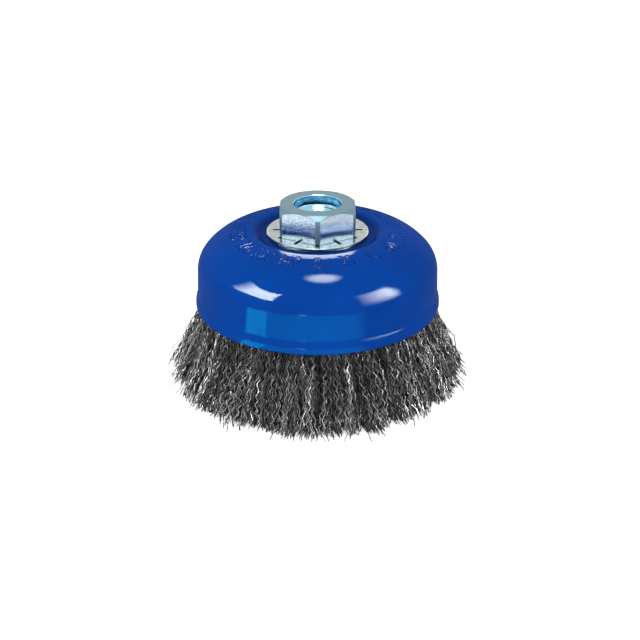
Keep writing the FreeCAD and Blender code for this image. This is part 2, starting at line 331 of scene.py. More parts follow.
@dataclass(frozen=True)
class CrimpedSteel:
    """Oiled drawn wire, each one a little darker or brighter than the next."""

    dark: Colour = (0.028, 0.027, 0.027, 1.0)
    bright: Colour = (0.50, 0.50, 0.50, 1.0)
    oil: Colour = (0.02, 0.02, 0.02, 1.0)
    oil_span: tuple[float, float] = (0.42, 0.66)
    oil_share: float = 0.6
    film_size: float = 0.0016
    film_span: tuple[float, float] = (0.3, 0.7)
    roughness: tuple[float, float] = (0.30, 0.46)

    def material(self) -> bpy.types.Material:
        """The wires' material, whose tone is the wires' own attribute: random for each wire, with painted
        shade towards the lip.

        Returns:
            The material.
        """
        made = bpy.data.materials.new("crimped_wire_steel")
        nodes = NodeTree(made)
        film = nodes.noise(nodes.place(), self.film_size, detail=2.0)
        bare = nodes.blend(nodes.shade(), self.dark, self.bright)
        nodes.principled(
            Base_Color=nodes.blend(nodes.span(film, *self.oil_span, 0.0, self.oil_share), bare, self.oil),
            Metallic=1.0,
            Roughness=nodes.span(film, *self.film_span, *self.roughness),
        )
        return made


class Outline:
    """Lines and tangent arcs in the XZ plane, sampled into points in millimetres."""

    def __init__(self, x: float, z: float, heading: float, beside: float = 0.0) -> None:
        """Start at a point.

        Args:
            x: distance from the spindle axis.
            z: height.
            heading: direction in degrees from +X.
            beside: how far the points lie to the right of the line that the outline follows.
        """
        self.x = x
        self.z = z
        self.heading = heading
        self.beside = beside
        self.points = [self.point()]

    def point(self) -> Vector:
        """The point beside the line's end."""
        angle = math.radians(self.heading - 90)
        return Vector((self.x + self.beside * math.cos(angle), 0, self.z + self.beside * math.sin(angle)))

    def straight(self, length: float, parts: int = 1) -> None:
        """Run straight on.

        Args:
            length: how far.
            parts: how many equal parts the run has.
        """
        for _ in range(parts):
            self.x += length / parts * math.cos(math.radians(self.heading))
            self.z += length / parts * math.sin(math.radians(self.heading))
            self.points.append(self.point())

    def turn(self, radius: float, angle: float, parts: int) -> None:
        """Turn left along an arc, or right where the angle is negative.

        Args:
            radius: the arc's radius.
            angle: how far it turns, in degrees.
            parts: how many equal parts the arc has.
        """
        side = math.copysign(1.0, angle)
        to_centre = math.radians(self.heading + 90 * side)
        centre_x = self.x + radius * math.cos(to_centre)
        centre_z = self.z + radius * math.sin(to_centre)
        for _ in range(parts):
            self.heading += angle / parts
            away = math.radians(self.heading - 90 * side)
            self.x = centre_x + radius * math.cos(away)
            self.z = centre_z + radius * math.sin(away)
            self.points.append(self.point())


def rise(radius: float, degrees: float) -> float:
    """How far an arc of this radius drops from its crest over the given angle."""
    return radius * (1 - math.cos(math.radians(degrees)))


def reach(vert: BMVert) -> float:
    """A vertex's distance from the spindle axis."""
    return math.hypot(vert.co.x, vert.co.y)


def drawn(vert: BMVert, share: float) -> None:
    """Move a vertex to a share of its distance from the spindle axis."""
    vert.co.x *= share
    vert.co.y *= share


def chain(bm: BMesh, points: Sequence[Vector]) -> list[BMVert | BMEdge]:
    """Add points and the edges that join them, and return both."""
    verts = [bm.verts.new(point) for point in points]
    return verts + [bm.edges.new(pair) for pair in zip(verts, verts[1:])]


def swept(bm: BMesh, geometry: Sequence, angle: float, steps: int, climb: float = 0.0,
          copies: bool = False) -> None:
    """Spin geometry about the spindle axis.

    Args:
        bm: the mesh that it is in.
        geometry: what is spun.
        angle: how far round, in radians.
        steps: how many steps the spin has.
        climb: how far each step rises.
        copies: whether loose copies are left at the steps, in place of a surface.
    """
    bmesh.ops.spin(
        bm, geom=geometry, cent=ORIGIN, axis=UP, dvec=UP * climb, angle=angle, steps=steps,
        use_duplicate=copies, use_merge=False, use_normal_flip=False)


def repeated(bm: BMesh, times: int, wedges: int, climb: float = 0.0) -> None:
    """Copy a whole mesh about the spindle axis and merge what meets.

    Args:
        bm: the mesh.
        times: how many copies are added.
        wedges: how many copies make a full turn.
        climb: how far each copy lies above the one before it.
    """
    swept(bm, [*bm.verts, *bm.edges, *bm.faces], FULL_TURN * times / wedges, times, climb, copies=True)
    bmesh.ops.remove_doubles(bm, verts=bm.verts, dist=MERGE_DISTANCE)


def meshed(bm: BMesh, name: str) -> bpy.types.Mesh:
    """Turn a mesh under construction into one that an object can hold.

    Args:
        bm: the mesh under construction, which is freed.
        name: the new mesh's name.

    Returns:
        The new mesh.
    """
    mesh = bpy.data.meshes.new(name)
    bm.to_mesh(mesh)
    bm.free()
    return mesh


def opened(mesh: bpy.types.Mesh) -> BMesh:
    """Open an object's mesh for more construction.

    Args:
        mesh: the mesh, which is removed.

    Returns:
        The mesh under construction.
    """
    bm = bmesh.new()
    bm.from_mesh(mesh)
    bpy.data.meshes.remove(mesh)
    return bm


def evaluated(piece: bpy.types.Object) -> bpy.types.Mesh:
    """A new mesh that holds an object with its modifiers applied."""
    return bpy.data.meshes.new_from_object(piece.evaluated_get(bpy.context.evaluated_depsgraph_get()))


def shown(data: bpy.types.ID) -> bpy.types.Object:
    """Link a mesh, a text, a lamp or a camera into the scene, in a new object at the origin.

    Args:
        data: what the object holds and is named after.

    Returns:
        The object.
    """
    piece = bpy.data.objects.new(data.name, data)
    bpy.context.scene.collection.objects.link(piece)
    return piece


def joined(bm: BMesh, part: BMesh) -> list[BMEdge]:
    """Move a part's geometry into a mesh.

    Args:
        bm: the mesh that gets it.
        part: the part, which is freed.

    Returns:
        The new edges.
    """
    mesh = meshed(part, "part")
    known = len(bm.edges)
    bm.from_mesh(mesh)
    bpy.data.meshes.remove(mesh)
    bm.edges.ensure_lookup_table()
    return bm.edges[known:]


def spun(bm: BMesh, points: Sequence[Vector], steps: int) -> Loops:
    """Turn a chain of points about the spindle axis.

    Args:
        bm: the mesh that gets the surface.
        points: the chain, in the XZ plane.
        steps: segments in a full turn.

    Returns:
        The edge loops at the chain's first and last points.
    """
    part = bmesh.new()
    wedges = math.gcd(steps, WEDGES)
    swept(part, chain(part, points), FULL_TURN / wedges, steps // wedges)
    repeated(part, wedges - 1, wedges)
    loops: Loops = ([], [])
    for edge in joined(bm, part):
        if edge.is_boundary:
            vert = edge.verts[0]
            ends = (points[0], points[-1])
            to_first, to_last = (math.hypot(reach(vert) - end.x, vert.co.z - end.z) for end in ends)
            loops[0 if to_first < to_last else 1].append(edge)
    return loops


def bridged(bm: BMesh, first: Sequence[BMEdge], second: Sequence[BMEdge]) -> None:
    """Join two edge loops with faces."""
    bmesh.ops.bridge_loops(bm, edges=[*first, *second], use_pairs=False, use_cyclic=False, use_merge=False)


def finished(bm: BMesh, name: str, sharp_angle: float | None = None) -> bpy.types.Object:
    """Turn a millimetre mesh into an object of the scene.

    Args:
        bm: the mesh, which is freed.
        name: the object's name.
        sharp_angle: edges that turn by more than this, in degrees, stay sharp. None leaves all smooth.

    Returns:
        The object.
    """
    bmesh.ops.remove_doubles(bm, verts=bm.verts, dist=MERGE_DISTANCE)
    bmesh.ops.recalc_face_normals(bm, faces=bm.faces)
    for face in bm.faces:
        face.smooth = True
    if sharp_angle is not None:
        for edge in bm.edges:
            edge.smooth = not edge.is_manifold or edge.calc_face_angle() < math.radians(sharp_angle)
    bmesh.ops.scale(bm, vec=(MM, MM, MM), verts=bm.verts)
    return shown(meshed(bm, name))


@dataclass
class Dial:
    """Plain degree numbers pressed into the dome, all round. Sizes are millimetres."""

    step: int = 20
    middle_radius: float = 26.0
    inner_radius: float = 22.7
    outer_radius: float = 29.3
    text_size: float = 8.0
    narrowing: float = 0.62
    depth: float = 0.34
    slope: float = 0.26
    outline_spacing: float = 0.05

    def flat_text(self, number: int) -> BMesh:
        """A number as flat faces about the origin.

        Args:
            number: what is written.

        Returns:
            The mesh.
        """
        curve = bpy.data.curves.new("dial_number", "FONT")
        curve.body = str(number)
        curve.size = self.text_size
        curve.align_x = "CENTER"
        curve.align_y = "CENTER"
        writing = shown(curve)
        bm = opened(evaluated(writing))
        bmesh.ops.scale(bm, vec=(self.narrowing, 1, 1), verts=bm.verts)
        bpy.data.objects.remove(writing)
        bpy.data.curves.remove(curve)
        return bm

    def glyphs(self, number: int) -> tuple[BVHTree, KDTree]:
        """One number laid flat, as faces and as points along its outline.

        Args:
            number: what is written.

        Returns:
            A tree of its faces and a tree of its outline's points.
        """
        bm = self.flat_text(number)
        points = []
        for edge in bm.edges:
            if edge.is_boundary:
                start, end = (vert.co for vert in edge.verts)
                parts = max(1, math.ceil((end - start).length / self.outline_spacing))
                points += [start.lerp(end, index / parts) for index in range(parts)]
        outline = KDTree(len(points))
        for index, point in enumerate(points):
            outline.insert(point, index)
        outline.balance()
        faces = BVHTree.FromBMesh(bm)
        bm.free()
        return faces, outline

    def press(self, bm: BMesh, first: int, last: int) -> None:
        """Sink the numbers into a band of the dome, and paint shade into them, darker where they sink deeper.

        Args:
            bm: the dome's mesh.
            first: number of the band's first vertex.
            last: number of the vertex after its last one.
        """
        shade = bm.verts.layers.float.new(SHADE)
        count = CIRCLE // self.step
        written = [self.glyphs(index * self.step) for index in range(count)]
        bm.verts.ensure_lookup_table()
        for vert in bm.verts[first:last]:
            turn = (math.degrees(math.atan2(vert.co.y, vert.co.x)) + CIRCLE / 4) % CIRCLE
            index = round(turn / self.step) % count
            past = (turn - index * self.step + CIRCLE / 2) % CIRCLE - CIRCLE / 2
            across = math.radians(past) * self.middle_radius
            flat = Vector((across, self.middle_radius - reach(vert), 0))
            faces, outline = written[index]
            if faces.ray_cast(flat + UP, -UP)[0] is not None:
                share = min(outline.find(flat)[2] / self.slope, 1.0)
                eased = share * share * (3 - 2 * share)
                vert.co.z -= self.depth * eased
                # painted shade in the pressed number, full where it is pressed deepest
                vert[shade] = share


@dataclass
class Cup:
    """The drawn cup with its pressed numbers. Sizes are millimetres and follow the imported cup."""

    hole_radius: float = 9.6175
    floor_radius: float = 18.196
    wall: float = 1.5
    radius: float = 39.0
    recess_fillet: float = 1.0
    recess_angle: float = 31.2
    recess_depth: float = 1.3
    crest_radius: float = 3.7
    shoulder_angle: float = 42.5
    shoulder_radius: float = 9.3
    crease_radius: float = 2.2
    crease_angle: float = 2.0
    taper: float = 2.1
    wall_height: float = 8.1
    swell_fillet: float = 1.6
    swell_angle: float = 23.0
    swell_radius: float = 7.2
    land: float = 0.5
    steps: int = 300
    inside_steps: int = 180
    band_steps: int = 1080
    band_parts: int = 34
    # how far the painted shade round the washer fades out up the recess
    pool_fade: float = 2.2

    def slope_drop(self) -> float:
        """Height of the straight slope between the recess floor's fillet and the crest's arc."""
        bends = rise(self.crest_radius, self.recess_angle) + rise(self.recess_fillet, self.recess_angle)
        return self.recess_depth - bends

    def crest_x(self) -> float:
        """Distance of the crest from the axis."""
        slope = math.radians(self.recess_angle)
        return (self.floor_radius + (self.crest_radius + self.recess_fillet) * math.sin(slope)
                + self.slope_drop() / math.tan(slope))

    def crown_radius(self) -> float:
        """Radius of the arc between shoulder and crest that makes the cup as wide as it is.

        Returns:
            The radius.
        """
        start = math.cos(math.radians(self.taper + self.crease_angle))
        end = math.cos(math.radians(self.shoulder_angle))
        crease = self.crease_radius * (math.cos(math.radians(self.taper)) - start)
        return (self.radius - crease - self.crest_x() - self.shoulder_radius * (start - end)) / end

    def outline(self, beside: float, floor_z: float) -> Outline:
        """One side of the sheet, from the hole in its floor out and down to the lip.

        Args:
            beside: how far the side lies inside the outer one.
            floor_z: height of the recess floor.

        Returns:
            The side's outline.
        """
        line = Outline(self.hole_radius, floor_z, 0, beside)
        line.straight(self.floor_radius - self.hole_radius, parts=4)
        line.turn(self.recess_fillet, self.recess_angle, parts=6)
        line.straight(self.slope_drop() / math.sin(math.radians(self.recess_angle)))
        line.turn(self.crest_radius, -self.recess_angle, parts=12)
        line.turn(self.crown_radius(), self.shoulder_angle - 90, parts=32)
        line.turn(self.shoulder_radius, self.taper + self.crease_angle - self.shoulder_angle, parts=22)
        line.turn(self.crease_radius, -self.crease_angle, parts=3)
        line.straight(self.wall_height, parts=4)
        line.turn(self.swell_fillet, self.swell_angle - self.taper, parts=6)
        line.turn(self.swell_radius, -self.swell_angle, parts=12)
        line.straight(self.land)
        return line

    def banded(self, points: Sequence[Vector], dial: Dial) -> tuple[list[Vector], list[Vector], list[Vector]]:
        """Split the outer side into the parts within, on and outside the dial's band.

        Args:
            points: the outer side's points.
            dial: the numbers that the band carries.

        Returns:
            The three chains.
        """
        inside = next(index for index, point in enumerate(points) if point.x > dial.inner_radius)
        outside = next(index for index, point in enumerate(points) if point.x > dial.outer_radius)
        crown = self.crown_radius()
        centre_z = points[0].z + self.recess_depth - crown
        band = []
        for index in range(self.band_parts + 1):
            x = dial.inner_radius + (dial.outer_radius - dial.inner_radius) * index / self.band_parts
            band.append(Vector((x, 0, centre_z + math.sqrt(crown ** 2 - (x - self.crest_x()) ** 2))))
        return points[:inside - 1], band, points[outside + 1:]

    def pool(self, bm: BMesh, floor_z: float) -> None:
        """Paint shade into the corner of the recess round the washer, fading out up its slope.

        Args:
            bm: the cup's mesh.
            floor_z: height of the recess floor.
        """
        shade = bm.verts.layers.float[SHADE]
        for vert in bm.verts:
            if vert.co.z > floor_z - self.wall / 2 and reach(vert) < self.crest_x():
                past = (reach(vert) - self.floor_radius - self.recess_fillet / 2) / self.pool_fade
                vert[shade] = 1 - min(max(past, 0.0), 1.0)

    def build(self, dial: Dial) -> bpy.types.Object:
        """Spin the sheet's outer side in three bands, its inner side in one, and join them at lip and hole.

        Args:
            dial: the numbers to press into the middle band.

        Returns:
            The cup.
        """
        floor_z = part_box("cup")[0].z / MM + self.wall / 2 - self.outline(0, 0).z
        outer_side = self.outline(0, floor_z)
        inner_side = self.outline(self.wall, floor_z)
        lip = Outline(outer_side.x, outer_side.z, -90)
        lip.turn(self.wall / 2, -180, parts=10)
        inner, band, outer = self.banded(outer_side.points, dial)
        bm = bmesh.new()
        hole_top, inner_end = spun(bm, inner, self.steps)
        band_first = len(bm.verts)
        band_start, band_end = spun(bm, band, self.band_steps)
        band_last = len(bm.verts)
        outer_start, lip_edge = spun(bm, outer + lip.points[1:-1], self.steps)
        rim_inside, hole_bottom = spun(bm, inner_side.points[::-2], self.inside_steps)
        bridged(bm, inner_end, band_start)
        bridged(bm, band_end, outer_start)
        bridged(bm, lip_edge, rim_inside)
        bridged(bm, hole_top, hole_bottom)
        # press the numbers and paint shade into them, then paint shade into the recess round the washer
        dial.press(bm, band_first, band_last)
        self.pool(bm, floor_z)
        return finished(bm, "cup_enamelled")


@dataclass
class Washer:
    """The flat washer with its knurled rim and twelve radial slots, in millimetres."""

    radius: float = 16.396
    hole_radius: float = 9.6175
    thickness: float = 1.2
    edge: float = 0.15
    teeth: int = 172
    tooth_depth: float = 0.24
    tooth_share: float = 0.5
    steps_per_tooth: int = 4
    slots: int = 12
    slot_reach: float = 14.496
    slot_width: float = 1.1
    slot_start: float = 8.0
    slot_parts: int = 8
    cut_past: float = 1.0
    sharp_angle: float = 25.0

    def slot_cutter(self, low: float) -> bpy.types.Object:
        """All the round-ended slots as one solid to cut with.

        Args:
            low: height of the washer's underside.

        Returns:
            The cutter, which isn't rendered.
        """
        bm = bmesh.new()
        half = self.slot_width / 2
        outline = [(self.slot_start, half), (self.slot_start, -half)]
        for index in range(self.slot_parts + 1):
            angle = math.pi * (index / self.slot_parts - 0.5)
            outline.append((self.slot_reach - half + half * math.cos(angle), half * math.sin(angle)))
        base = bm.faces.new([bm.verts.new((x, y, low - self.cut_past)) for x, y in outline])
        raised = bmesh.ops.extrude_face_region(bm, geom=[base])["geom"]
        tops = [item for item in raised if isinstance(item, BMVert)]
        bmesh.ops.translate(bm, vec=UP * (self.thickness + self.cut_past * 2), verts=tops)
        repeated(bm, self.slots - 1, self.slots)
        bmesh.ops.recalc_face_normals(bm, faces=bm.faces)
        cutter = shown(meshed(bm, "slot_cutter"))
        cutter.hide_render = True
        return cutter

    def disc(self, low: float) -> BMesh:
        """The washer without its slots, its rim knurled by pulling in half of each tooth's vertices.

        Args:
            low: height of the washer's underside.

        Returns:
            The mesh.
        """
        high = low + self.thickness
        outline = [
            Vector((self.hole_radius, 0, low)),
            Vector((self.radius - self.edge, 0, low)),
            Vector((self.radius, 0, low + self.edge)),
            Vector((self.radius, 0, high - self.edge)),
            Vector((self.radius - self.edge, 0, high)),
            Vector((self.hole_radius, 0, high)),
        ]
        bm = bmesh.new()
        bridged(bm, *spun(bm, outline, self.teeth * self.steps_per_tooth))
        for vert in bm.verts:
            share = math.atan2(vert.co.y, vert.co.x) / FULL_TURN * self.teeth % 1
            if share > self.tooth_share and reach(vert) > self.radius - self.edge * 2:
                drawn(vert, 1 - self.tooth_depth / reach(vert))
        bmesh.ops.remove_doubles(bm, verts=bm.verts, dist=MERGE_DISTANCE)
        bmesh.ops.recalc_face_normals(bm, faces=bm.faces)
        return bm

    def build(self) -> bpy.types.Object:
        """Cut the slots out of the knurled disc.

        Returns:
            The washer.
        """
        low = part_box("hub_washer")[0].z / MM
        washer = shown(meshed(self.disc(low), "washer_blank"))
        cutter = self.slot_cutter(low)
        cut = washer.modifiers.new("slots", "BOOLEAN")
        cut.operation = "DIFFERENCE"
        cut.solver = "EXACT"
        cut.object = cutter
        bm = opened(evaluated(washer))
        for gone in (washer, cutter):
            bpy.data.objects.remove(gone)
        return finished(bm, "washer_knurled", self.sharp_angle)


@dataclass
class Nut:
    """The hexagon nut with its real M14 x 2 thread, in millimetres."""

    sides: int = 6
    flats: float = 24.0
    corner_turned: float = 0.3885
    chamfer_drop: float = 1.3
    chamfer_margin: float = 0.12
    height: float = 9.2
    thread_minor: float = 5.9175
    thread_major: float = 7.0
    pitch: float = 2.0
    crest_share: float = 0.26
    root_share: float = 0.14
    counterbore_radius: float = 7.6
    counterbore_depth: float = 3.3
    edge: float = 0.3
    edge_share: float = 0.03
    row_gap: float = 0.03
    hair: float = 0.001
    corner_round: float = 0.12
    under_width: float = 1.5
    top_width: float = 1.2
    mouth_width: float = 1.0
    face_rows: tuple[float, ...] = (2, 4, 6, 7)
    break_mark: float = 0.5
    break_drop: float = 0.22
    shank_radius: float = 9.5175
    roll_radius: float = 11.8175
    roll_thickness: float = 1.7
    roll_share: float = 0.9
    roll_angle: float = 88.0
    roll_land: float = 0.05
    bore_land: float = 0.2
    steps: int = 96
    hex_steps: int = 360
    sharp_angle: float = 22.0

    def corner(self) -> float:
        """Distance of the hexagon's turned corners from the axis."""
        return self.flats / math.sqrt(3) - self.corner_turned

    def slope(self) -> float:
        """How fast the chamfer's cone drops outwards."""
        return self.chamfer_drop / (self.corner() - self.flats / 2)

    def cone_height(self) -> float:
        """Height in metres at which the chamfer's cone would meet the axis, less a margin."""
        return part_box("drive_nut")[1].z + (self.slope() * self.flats / 2 - self.chamfer_margin) * MM

    def hexagon(self, bm: BMesh, low: float, top: float) -> Loops:
        """The outside of the hexagon, from the ring under it to the mouth of the bore.

        A turned blank gives the rows of vertices, and each row is then drawn in or out to the flats. The
        chamfer is a cone, so its lower edge dips at the corners.

        Args:
            bm: the mesh that gets it.
            low: height of its underside.
            top: height of its top face.

        Returns:
            The edge loops at the underside's inner edge and at the bore's mouth.
        """
        half = self.flats / 2
        side = FULL_TURN / self.sides
        blank = [
            (self.shank_radius, low), (half - self.under_width, low), (half - self.corner_round, low),
            (half, low + self.corner_round), *((half, low + height) for height in self.face_rows),
            (half + self.break_mark, top - self.break_mark), (half - self.corner_round, top),
            (half - self.top_width, top), (self.counterbore_radius + self.mouth_width, top),
            (self.counterbore_radius + self.edge, top),
        ]
        edges = spun(bm, [Vector((x, 0, z)) for x, z in blank], self.hex_steps)
        for vert in bm.verts:
            off_flat = (math.atan2(vert.co.y, vert.co.x) + side / 2) % side - side / 2
            flat = min(half / math.cos(off_flat), self.corner())
            cone_edge = top - self.slope() * (flat - half) - self.hair
            past_face = reach(vert) - half
            underneath = vert.co.z < low + self.face_rows[0] / 2
            if abs(past_face) < self.hair:
                inset = 0.0
                if not underneath:
                    share = (vert.co.z - low) / self.face_rows[-1]
                    vert.co.z = low + share * (cone_edge - self.break_drop - low)
            elif abs(past_face - self.break_mark) < self.hair:
                inset = self.row_gap
                vert.co.z = cone_edge
            elif underneath and -past_face < self.under_width + self.hair:
                inset = self.corner_round if -past_face < self.under_width / 2 else self.under_width
            else:
                continue
            drawn(vert, (flat - inset) / reach(vert))
        return edges

    def thread(self, bm: BMesh, low: float, high: float) -> Loops:
        """The threaded wall, one pitch of its section swept along the helix and cut level at both ends.

        Args:
            bm: the mesh that gets it.
            low: height of its lower end.
            high: height of its upper end, where the cone has opened past the thread's roots.

        Returns:
            The edge loops at its lower and upper ends.
        """
        crest = self.crest_share / 2
        flank = (1 - self.crest_share - self.root_share) / 2
        inner, outer = self.thread_minor, self.thread_major
        section = ((0, inner), (crest, inner), (crest + flank, outer), (1 - crest - flank, outer),
                   (1 - crest, inner), (1, inner))
        start = low - 2 * self.pitch
        wall = bmesh.new()
        points = [Vector((radius, 0, start + share * self.pitch)) for share, radius in section]
        swept(wall, chain(wall, points), FULL_TURN, self.steps, self.pitch / self.steps)
        turns = math.ceil((high - start) / self.pitch) + 1
        repeated(wall, turns - 1, 1, self.pitch)
        for height, outwards in ((low, False), (high, True)):
            bmesh.ops.bisect_plane(
                wall, geom=[*wall.verts, *wall.edges, *wall.faces], dist=MERGE_DISTANCE / 10,
                plane_co=UP * height, plane_no=UP, clear_outer=outwards, clear_inner=not outwards)
        cone_start = high - (self.thread_major - self.thread_minor)
        for vert in wall.verts:
            past_cone = max(vert.co.z - cone_start, self.edge - (vert.co.z - low))
            drawn(vert, max(reach(vert), self.thread_minor + past_cone) / reach(vert))
        ends: Loops = ([], [])
        for edge in joined(bm, wall):
            if edge.is_boundary:
                height = (edge.verts[0].co.z + edge.verts[1].co.z) / 2
                ends[0 if height < (low + high) / 2 else 1].append(edge)
        return ends

    def build(self) -> bpy.types.Object:
        """Join the hexagon, the bore, the thread and the rolled-over shank.

        Returns:
            The nut.
        """
        bottom, top = (corner.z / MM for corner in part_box("drive_nut"))
        hex_low = top - self.height
        under_plate = bottom + self.roll_thickness
        counterbore = top - self.counterbore_depth
        thread_top = counterbore - self.counterbore_radius + self.thread_major
        bm = bmesh.new()
        hex_under, mouth = self.hexagon(bm, hex_low, top)
        thread_low, thread_high = self.thread(bm, bottom, thread_top)
        small, large = self.edge * self.edge_share, self.edge * (1 - self.edge_share)
        bore = [
            Vector((self.counterbore_radius + large, 0, top - small)),
            Vector((self.counterbore_radius + small, 0, top - large)),
            Vector((self.counterbore_radius, 0, top - self.edge - self.row_gap)),
            Vector((self.counterbore_radius, 0, counterbore + self.row_gap * 2)),
            Vector((self.counterbore_radius - self.row_gap, 0, counterbore)),
            Vector((self.thread_major + self.row_gap, 0, thread_top + self.row_gap)),
        ]
        bore_top, bore_bottom = spun(bm, bore, self.steps)
        bridged(bm, mouth, bore_top)
        bridged(bm, bore_bottom, thread_high)
        roll = Outline(self.roll_radius, under_plate, -90)
        roll.turn(self.roll_thickness * self.roll_share, -self.roll_angle, parts=9)
        shank = [
            Vector((self.shank_radius, 0, hex_low - self.hair * 10)),
            Vector((self.shank_radius, 0, under_plate)),
            Vector((self.roll_radius - self.roll_land, 0, under_plate + self.hair)),
            *roll.points,
            Vector((self.thread_minor + self.edge + self.bore_land, 0, bottom)),
        ]
        shank_top, shank_end = spun(bm, shank, self.steps)
        bridged(bm, hex_under, shank_top)
        bridged(bm, shank_end, thread_low)
        return finished(bm, "nut_threaded", self.sharp_angle)


@dataclass
class Strand:
    """One crimped wire's resting shape: a straight line of unit length down from the origin, bent sideways.

    Sizes across the line are millimetres, and sizes along it are shares.
    """

    radius: float = 0.18
    sides: int = 3
    half_waves: int = 17
    uneven_waves: float = 0.22
    swing: float = 0.50
    swing_spread: float = 0.22
    wander: float = 1.1
    wander_spread: float = 0.15
    wander_bends: tuple[float, float] = (1.5, 3.5)

    def mesh(self, draw: random.Random) -> bpy.types.Mesh:
        """A closed tube along the bent line, with a ring at each crimp.

        Args:
            draw: where the bends' differences come from.

        Returns:
            The mesh.
        """
        bm = bmesh.new()
        bmesh.ops.create_circle(bm, cap_ends=True, radius=self.radius, segments=self.sides)
        bm.faces.ensure_lookup_table()
        front = bm.faces[0]
        rings = [(list(bm.verts), 0.0, 0.0)]
        drift = draw.uniform(0, FULL_TURN)
        bends = draw.uniform(*self.wander_bends)
        for half in range(self.half_waves):
            side = 1 if half % 2 else -1
            peak = side * (self.swing + draw.uniform(-1, 1) * self.swing_spread)
            share = (half + 0.5 + draw.uniform(-self.uneven_waves, self.uneven_waves)) / self.half_waves
            behind = front
            grown = bmesh.ops.extrude_face_region(bm, geom=[front])["geom"]
            front = next(item for item in grown if isinstance(item, BMFace))
            if half:
                bmesh.ops.delete(bm, geom=[behind], context="FACES_ONLY")
            rings.append(([item for item in grown if isinstance(item, BMVert)], share, peak))
        for verts, share, peak in rings:
            across = self.wander * math.sin(share * math.pi * bends + drift)
            across += draw.uniform(-self.wander_spread, self.wander_spread)
            bmesh.ops.translate(bm, vec=(peak, across, -share), verts=verts)
        last, share, _ = rings[-1]
        bmesh.ops.translate(bm, vec=(0, 0, share - 1), verts=last)
        for face in bm.faces:
            face.smooth = len(face.verts) == 4
        bmesh.ops.recalc_face_normals(bm, faces=bm.faces)
        return meshed(bm, "strand")


@dataclass(frozen=True)
class Tuft:
    """Where a tuft of wires grows, as shares of its sector, and what its wires have in common.

    Its spin is radians, its lean degrees, its reach and lift millimetres.
    """

    share: float
    depth: float
    spin: float
    lean: float
    reach: float
    lift: float
    round_weight: float = 4.0

    def distance(self, share: float, depth: float) -> float:
        """How far a wire's place is from the tuft's, squared, with more weight round the skirt."""
        return (self.share - share) ** 2 * self.round_weight + (self.depth - depth) ** 2


